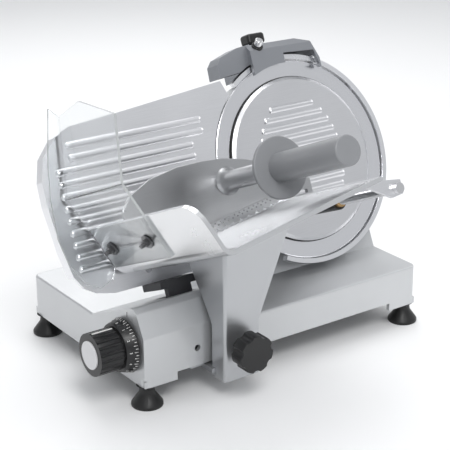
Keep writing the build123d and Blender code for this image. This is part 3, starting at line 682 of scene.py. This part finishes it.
def row_tree():
    """Rounded bars laid side by side along a line: count, first, step, bar radius and bar length."""
    tree = bpy.data.node_groups.new("Bars in a row", "GeometryNodeTree")
    face = tree.interface
    face.new_socket("Geometry", in_out="OUTPUT", socket_type="NodeSocketGeometry")
    face.new_socket("Count", in_out="INPUT", socket_type="NodeSocketInt")
    face.new_socket("First", in_out="INPUT", socket_type="NodeSocketVector")
    face.new_socket("Step", in_out="INPUT", socket_type="NodeSocketVector")
    face.new_socket("Bar radius", in_out="INPUT", socket_type="NodeSocketFloat")
    face.new_socket("Bar end", in_out="INPUT", socket_type="NodeSocketVector")
    face.new_socket("Material", in_out="INPUT", socket_type="NodeSocketMaterial")
    new, link = tree.nodes.new, tree.links.new
    given = new("NodeGroupInput")
    given.location = (-900, 0)
    line = new("GeometryNodeMeshLine")
    line.label = "Places of the bars"
    line.location = (-600, 200)
    line.mode = "OFFSET"
    bar_line = new("GeometryNodeCurvePrimitiveLine")
    bar_line.label = "One bar's length"
    bar_line.location = (-600, -100)
    outline = new("GeometryNodeCurvePrimitiveCircle")
    outline.label = "Bar's section"
    outline.location = (-600, -350)
    outline.inputs["Resolution"].default_value = 8
    bar = new("GeometryNodeCurveToMesh")
    bar.label = "One bar"
    bar.location = (-350, -150)
    bar.inputs["Fill Caps"].default_value = True
    rows = new("GeometryNodeInstanceOnPoints")
    rows.label = "Bar at each place"
    rows.location = (-100, 100)
    solid = new("GeometryNodeRealizeInstances")
    solid.location = (100, 100)
    smooth = new("GeometryNodeSetShadeSmooth")
    smooth.location = (260, 100)
    finish = new("GeometryNodeSetMaterial")
    finish.location = (420, 100)
    out = new("NodeGroupOutput")
    out.location = (600, 100)
    link(given.outputs["Count"], line.inputs["Count"])
    link(given.outputs["First"], line.inputs["Start Location"])
    link(given.outputs["Step"], line.inputs["Offset"])
    link(given.outputs["Bar end"], bar_line.inputs["End"])
    link(given.outputs["Bar radius"], outline.inputs["Radius"])
    link(bar_line.outputs["Curve"], bar.inputs["Curve"])
    link(outline.outputs["Curve"], bar.inputs["Profile Curve"])
    link(line.outputs["Mesh"], rows.inputs["Points"])
    link(bar.outputs["Mesh"], rows.inputs["Instance"])
    link(rows.outputs["Instances"], solid.inputs["Geometry"])
    link(solid.outputs["Geometry"], smooth.inputs["Geometry"])
    link(smooth.outputs["Geometry"], finish.inputs["Geometry"])
    link(given.outputs["Material"], finish.inputs["Material"])
    link(finish.outputs["Geometry"], out.inputs["Geometry"])
    return tree


def ring_tree():
    """Small blocks round a circle, each turned to face out: the ticks of a dial."""
    tree = bpy.data.node_groups.new("Ticks round a dial", "GeometryNodeTree")
    face = tree.interface
    face.new_socket("Geometry", in_out="OUTPUT", socket_type="NodeSocketGeometry")
    face.new_socket("Count", in_out="INPUT", socket_type="NodeSocketInt")
    face.new_socket("Radius", in_out="INPUT", socket_type="NodeSocketFloat")
    face.new_socket("Tick size", in_out="INPUT", socket_type="NodeSocketVector")
    face.new_socket("Lean", in_out="INPUT", socket_type="NodeSocketFloat")
    face.new_socket("Material", in_out="INPUT", socket_type="NodeSocketMaterial")
    new, link = tree.nodes.new, tree.links.new
    given = new("NodeGroupInput")
    given.location = (-1000, 0)
    circle = new("GeometryNodeMeshCircle")
    circle.label = "Places round the dial"
    circle.location = (-700, 250)
    tick = new("GeometryNodeMeshCube")
    tick.label = "One tick"
    tick.location = (-700, -50)
    lean = new("ShaderNodeCombineXYZ")
    lean.label = "Lean of the cone"
    lean.location = (-900, -300)
    leaned = new("GeometryNodeTransform")
    leaned.label = "Laid on the cone"
    leaned.location = (-450, -100)
    index = new("GeometryNodeInputIndex")
    index.location = (-900, 520)
    turn = new("ShaderNodeMath")
    turn.operation = "DIVIDE"
    turn.label = "Share of a turn"
    turn.location = (-700, 520)
    angle = new("ShaderNodeMath")
    angle.operation = "MULTIPLY"
    angle.label = "Angle"
    angle.location = (-520, 520)
    angle.inputs[1].default_value = 2 * pi
    facing = new("ShaderNodeCombineXYZ")
    facing.label = "Facing out"
    facing.location = (-340, 520)
    ticks = new("GeometryNodeInstanceOnPoints")
    ticks.label = "Tick at each place"
    ticks.location = (-150, 150)
    solid = new("GeometryNodeRealizeInstances")
    solid.location = (50, 150)
    finish = new("GeometryNodeSetMaterial")
    finish.location = (230, 150)
    out = new("NodeGroupOutput")
    out.location = (420, 150)
    link(given.outputs["Count"], circle.inputs["Vertices"])
    link(given.outputs["Radius"], circle.inputs["Radius"])
    link(given.outputs["Tick size"], tick.inputs["Size"])
    link(given.outputs["Lean"], lean.inputs["Y"])
    link(tick.outputs["Mesh"], leaned.inputs["Geometry"])
    link(lean.outputs["Vector"], leaned.inputs["Rotation"])
    link(index.outputs["Index"], turn.inputs[0])
    link(given.outputs["Count"], turn.inputs[1])
    link(turn.outputs["Value"], angle.inputs[0])
    link(angle.outputs["Value"], facing.inputs["Z"])
    link(circle.outputs["Mesh"], ticks.inputs["Points"])
    link(leaned.outputs["Geometry"], ticks.inputs["Instance"])
    link(facing.outputs["Vector"], ticks.inputs["Rotation"])
    link(ticks.outputs["Instances"], solid.inputs["Geometry"])
    link(solid.outputs["Geometry"], finish.inputs["Geometry"])
    link(given.outputs["Material"], finish.inputs["Material"])
    link(finish.outputs["Geometry"], out.inputs["Geometry"])
    return tree


BARS = row_tree()
TICKS = ring_tree()


def in_plane(u, v, w):
    """Slicing plane millimetres as a vector in metres."""
    return Vector((u, v, w)) * MM


def tray_ridges():
    """Fine ridges that the food slides on, along the tray floor towards the blade."""
    along = Vector((cos(FLOOR_ANGLE), sin(FLOOR_ANGLE), 0))
    rise = Vector((-sin(FLOOR_ANGLE), cos(FLOOR_ANGLE), 0))
    first = Vector((*TRAY_CORNER, RIDGE_FROM)) + along * RIDGE_MARGIN + rise * TRAY_T
    values = {
        "Count": int((FLOOR_LENGTH - RIDGE_MARGIN - 6 * MM) / RIDGE_PITCH),
        "First": first,
        "Step": along * RIDGE_PITCH,
        "Bar radius": RIDGE_R,
        "Bar end": (0, 0, RIDGE_TO - RIDGE_FROM),
        "Material": tray_alloy,
    }
    grown("tray_ridges", BARS, values, "carriage", PLANE)


def dial_cone():
    """Small and large end of the dial's cone along X, its radius at the large end, and its slope."""
    lo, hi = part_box("thickness_dial")
    wide = (hi.z - lo.z) / 2
    return lo.x, hi.x, wide, atan2(wide - DIAL_FACE_R, hi.x - lo.x)


def dial_ticks():
    """Ticks on the cone of the thickness dial, long at each whole and half number."""
    small_end, large_end, wide, slope = dial_cone()
    turn = Matrix.Translation(DIAL_AT) @ Euler((0, radians(90), 0)).to_matrix().to_4x4()
    rows = (
        ("dial_ticks_short", SHORT_TICKS, SHORT_TICK),
        ("dial_ticks_long", LONG_TICKS, LONG_TICK),
    )
    for name, count, length in rows:
        back = large_end - (1.2 + length / 2) * MM
        drop = (large_end - back) * (wide - DIAL_FACE_R) / (large_end - small_end)
        radius = wide - drop + 0.05 * MM
        values = {
            "Count": count,
            "Radius": radius,
            "Tick size": (0.3 * MM, 0.55 * MM, length * MM),
            "Lean": slope,
            "Material": mark_white,
        }
        place = turn.copy()
        place.translation.x = back
        grown(name, TICKS, values, "thickness_control", place)


def dial_numbers():
    """Whole numbers round the front of the cone, joined as one mesh."""
    small_end, large_end, wide, slope = dial_cone()
    middle = small_end + 4.4 * MM
    rise = (middle - small_end) * (wide - DIAL_FACE_R) / (large_end - small_end)
    radius = DIAL_FACE_R + rise + 0.08 * MM
    joined = bmesh.new()
    for k in range(NUMBERS):
        text = bpy.data.curves.new("digit", "FONT")
        text.body = str(k)
        text.size = DIGIT_SIZE
        text.extrude = 0.06 * MM
        text.align_x = "CENTER"
        text.align_y = "CENTER"
        holder = bpy.data.objects.new("digit", text)
        bpy.context.scene.collection.objects.link(holder)
        graph = bpy.context.evaluated_depsgraph_get()
        mesh = bpy.data.meshes.new_from_object(holder.evaluated_get(graph), depsgraph=graph)
        bpy.data.objects.remove(holder)
        # the digit's top points at the base, and its face points away from the axis
        angle = 2 * pi * k / NUMBERS + pi / 2
        out = Vector((-sin(slope), cos(angle) * cos(slope), sin(angle) * cos(slope)))
        up = Vector((1, 0, 0)) - out * out.x
        up.normalize()
        right = up.cross(out)
        spot = DIAL_AT.copy()
        spot.x = middle
        spot += Vector((0, cos(angle), sin(angle))) * radius
        mesh.transform(Matrix.Translation(spot) @ Matrix((right, up, out)).transposed().to_4x4())
        joined.from_mesh(mesh)
    made = bpy.data.meshes.new("dial_numbers")
    joined.to_mesh(made)
    joined.free()
    made.materials.clear()
    made.materials.append(mark_white)
    kept_piece("dial_numbers", made, "thickness_control")


def small_block(name, corners_from, corners_to, material, body, radius):
    """A little pad or mark with rounded edges between two corners."""
    low, high = Vector(corners_from), Vector(corners_to)
    work = bmesh.new()
    bmesh.ops.create_cube(work, size=1)
    for vertex in work.verts:
        vertex.co = Vector([(lo + hi) / 2 + c * (hi - lo) for c, lo, hi in zip(vertex.co, low, high)])
    bmesh.ops.bevel(work, geom=work.edges, offset=radius, segments=3, profile=0.5, affect="EDGES")
    mesh = bpy.data.meshes.new(name)
    work.to_mesh(mesh)
    work.free()
    mesh.materials.append(material)
    kept_piece(name, mesh, body)


def grip_pointer():
    """White line on top of the thickness grip."""
    lo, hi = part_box("thickness_grip")
    small_block(
        "grip_pointer",
        (lo.x + 3 * MM, DIAL_AT.y - 0.9 * MM, hi.z - 0.6 * MM),
        (hi.x - 2 * MM, DIAL_AT.y + 0.9 * MM, hi.z + 0.15 * MM),
        mark_white, "thickness_control", 0.1 * MM,
    )


def index_mark():
    """Line on the base over the dial that the numbers are read against."""
    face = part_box("base_casting")[0].x
    top = DIAL_AT.z + 33.6 * MM
    small_block(
        "index_mark",
        (face - 0.15 * MM, DIAL_AT.y - 0.6 * MM, top),
        (face + 0.3 * MM, DIAL_AT.y + 0.6 * MM, top + 6 * MM),
        face_black, "base", 0.05 * MM,
    )


def grip_teeth():
    """Two rows of pins on the press plate's toothed strip."""
    work = bmesh.new()
    start, end = in_plane(*TOOTH_START), in_plane(*TOOTH_END)
    for k in range(TOOTH_COUNT):
        for row in (0, 1):
            along = (k + 0.5 * row) / TOOTH_COUNT
            spot = start.lerp(end, along) + in_plane(-0.5, 3, 0) * row * 0.9 + in_plane(0, -4, 1.1)
            bmesh.ops.create_cone(
                work, cap_ends=True, segments=8, radius1=1.2 * MM, radius2=0.15 * MM, depth=2.6 * MM,
                matrix=Matrix.Translation(spot),
            )
    mesh = bpy.data.meshes.new("grip_teeth")
    work.to_mesh(mesh)
    work.free()
    mesh.transform(PLANE)
    mesh.materials.append(screw_zinc)
    kept_piece("grip_teeth", mesh, "press")


def join_round(work, loops):
    """Faces between each closed loop of points and the next, and from the last to the first."""
    for k, loop in enumerate(loops):
        following = loops[(k + 1) % len(loops)]
        for i in range(len(loop)):
            j = (i + 1) % len(loop)
            work.faces.new((loop[i], following[i], following[j], loop[j]))
    bmesh.ops.recalc_face_normals(work, faces=work.faces)


def turned_ring(name, outline, material, body):
    """Closed ring of (radius, height) points in millimetres, turned round the blade's axis."""
    steps = 128
    work = bmesh.new()
    loops = []
    for k in range(steps):
        a = 2 * pi * k / steps
        loops.append([work.verts.new(in_plane(r * cos(a), r * sin(a), w)) for r, w in outline])
    join_round(work, loops)
    mesh = bpy.data.meshes.new(name)
    work.to_mesh(mesh)
    work.free()
    mesh.transform(PLANE)
    mesh.materials.append(material)
    kept_piece(name, mesh, body)


def cover_seal():
    """Dark ring under the blade cover's edge: painted shadow standing in for the shade of the gap between the
    cover and the blade.
    """
    section = [(101.5, 0.9), (104.9, 0.9), (105.1, 0.2), (102.0, -0.8)]
    # black ring in place of the gap's shade: painted shadow, not a real seal
    turned_ring("cover_seal", section, belt_rubber, "base")


def start_mark():
    """Raised white bar on the start button."""
    lo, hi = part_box("start_button")
    middle = (lo + hi) / 2
    small_block(
        "start_mark",
        (middle.x - 0.6 * MM, hi.y - 0.1 * MM, middle.z - 3 * MM),
        (middle.x + 0.6 * MM, hi.y + 0.2 * MM, middle.z + 3 * MM),
        mark_white, "start", 0.08 * MM,
    )


def stop_mark():
    """Raised white ring on the stop button."""
    lo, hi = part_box("stop_button")
    middle = (lo + hi) / 2
    steps, wide, narrow = 32, 3.1 * MM, 2.1 * MM
    section = ((narrow, -0.1), (wide, -0.1), (wide, 0.2), (narrow, 0.2))
    work = bmesh.new()
    loops = []
    for k in range(steps):
        a = 2 * pi * k / steps
        spots = [(middle.x + r * cos(a), hi.y + y * MM, middle.z + r * sin(a)) for r, y in section]
        loops.append([work.verts.new(spot) for spot in spots])
    join_round(work, loops)
    mesh = bpy.data.meshes.new("stop_mark")
    work.to_mesh(mesh)
    work.free()
    mesh.materials.append(mark_white)
    kept_piece("stop_mark", mesh, "stop")


cover_seal()
start_mark()
stop_mark()
tray_ridges()
dial_ticks()
dial_numbers()
grip_pointer()
index_mark()
grip_teeth()


# ---------------------------------------------------------------- floor, light, camera


def sweep():
    """The plain floor, curving up behind the slicer into the backdrop."""
    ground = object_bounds()[0].z
    floor_mesh = bpy.data.meshes.new("floor")
    outline = [(-FLOOR_HALF, ground), (TURN_UP, ground)]
    for k in range(1, BEND_STEPS + 1):
        a = pi / 2 * k / BEND_STEPS
        outline.append((TURN_UP + BEND_R * sin(a), ground + BEND_R * (1 - cos(a))))
    outline.append((TURN_UP + BEND_R, ground + BACKDROP_HEIGHT))
    side = FLOOR_HALF * FLOOR_WIDER
    verts = [(x, y, z) for y, z in outline for x in (-side, side)]
    faces = [(2 * k, 2 * k + 1, 2 * k + 3, 2 * k + 2) for k in range(len(outline) - 1)]
    floor_mesh.from_pydata(verts, [], faces)
    floor_mesh.polygons.foreach_set("use_smooth", [True] * len(faces))
    floor_mesh.materials.append(backdrop_paint())
    floor = bpy.data.objects.new("floor", floor_mesh)
    bpy.context.scene.collection.objects.link(floor)


def lights():
    """An even pale surround, and the soft lights."""
    world = bpy.data.worlds.new("studio")
    bpy.context.scene.world = world
    world.use_nodes = True
    surround = world.node_tree.nodes["Background"]
    surround.inputs["Color"].default_value = SKY_COLOUR
    surround.inputs["Strength"].default_value = SKY_STRENGTH
    for name, place, size, power in LIGHTS:
        soft_box(name, place, size, power)
    bpy.context.scene.view_settings.view_transform = "Standard"


def backdrop_paint():
    """Plain pale paper with the faintest tooth."""
    material, tree = start_material("backdrop_paper")
    new, link = tree.nodes.new, tree.links.new
    place = new("ShaderNodeTexCoord")
    place.label = "Place on the floor"
    place.location = (-900, 0)
    tooth = new("ShaderNodeTexNoise")
    tooth.label = "Paper tooth"
    tooth.location = (-650, -150)
    tooth.inputs["Scale"].default_value = 260
    tooth_bump = new("ShaderNodeBump")
    tooth_bump.label = "Tooth height"
    tooth_bump.location = (-400, -150)
    tooth_bump.inputs["Strength"].default_value = 0.05
    tooth_bump.inputs["Distance"].default_value = 0.0002
    shader = new("ShaderNodeBsdfPrincipled")
    shader.label = "Paper"
    shader.location = (-100, 0)
    shader.inputs["Base Color"].default_value = (0.90, 0.90, 0.90, 1)
    shader.inputs["Roughness"].default_value = 0.85
    output = new("ShaderNodeOutputMaterial")
    output.location = (250, 0)
    link(place.outputs["Object"], tooth.inputs["Vector"])
    link(tooth.outputs["Fac"], tooth_bump.inputs["Height"])
    link(tooth_bump.outputs["Normal"], shader.inputs["Normal"])
    link(shader.outputs["BSDF"], output.inputs["Surface"])
    return material


def soft_box(name, place, size, power):
    """A square light that faces the object's own origin."""
    light = bpy.data.lights.new(name, "AREA")
    light.shape = "SQUARE"
    light.size = size
    light.energy = power
    box = bpy.data.objects.new(name, light)
    box.location = place
    box.rotation_mode = "QUATERNION"
    box.rotation_quaternion = (-Vector(place)).to_track_quat("-Z", "Y")
    bpy.context.scene.collection.objects.link(box)


def camera():
    """The camera, turned to the side where the tray is."""
    lo, hi = cad_box
    aim = (Vector(lo) + Vector(hi)) / 2 + AIM_OFFSET
    back = Vector((
        sin(CAMERA_AZIMUTH) * cos(CAMERA_ELEVATION),
        -cos(CAMERA_AZIMUTH) * cos(CAMERA_ELEVATION),
        sin(CAMERA_ELEVATION),
    ))
    data = bpy.data.cameras.new("camera")
    data.lens = CAMERA_LENS
    data.sensor_width = 36
    data.clip_start = 0.05
    data.clip_end = 60
    eye = bpy.data.objects.new("camera", data)
    bpy.context.scene.collection.objects.link(eye)
    eye.location = aim + back * CAMERA_DISTANCE
    eye.rotation_mode = "QUATERNION"
    look = (-back).to_track_quat("-Z", "Y")
    eye.rotation_quaternion = look @ Quaternion((0, 0, 1), CAMERA_ROLL)
    bpy.context.scene.camera = eye


sweep()
lights()
camera()
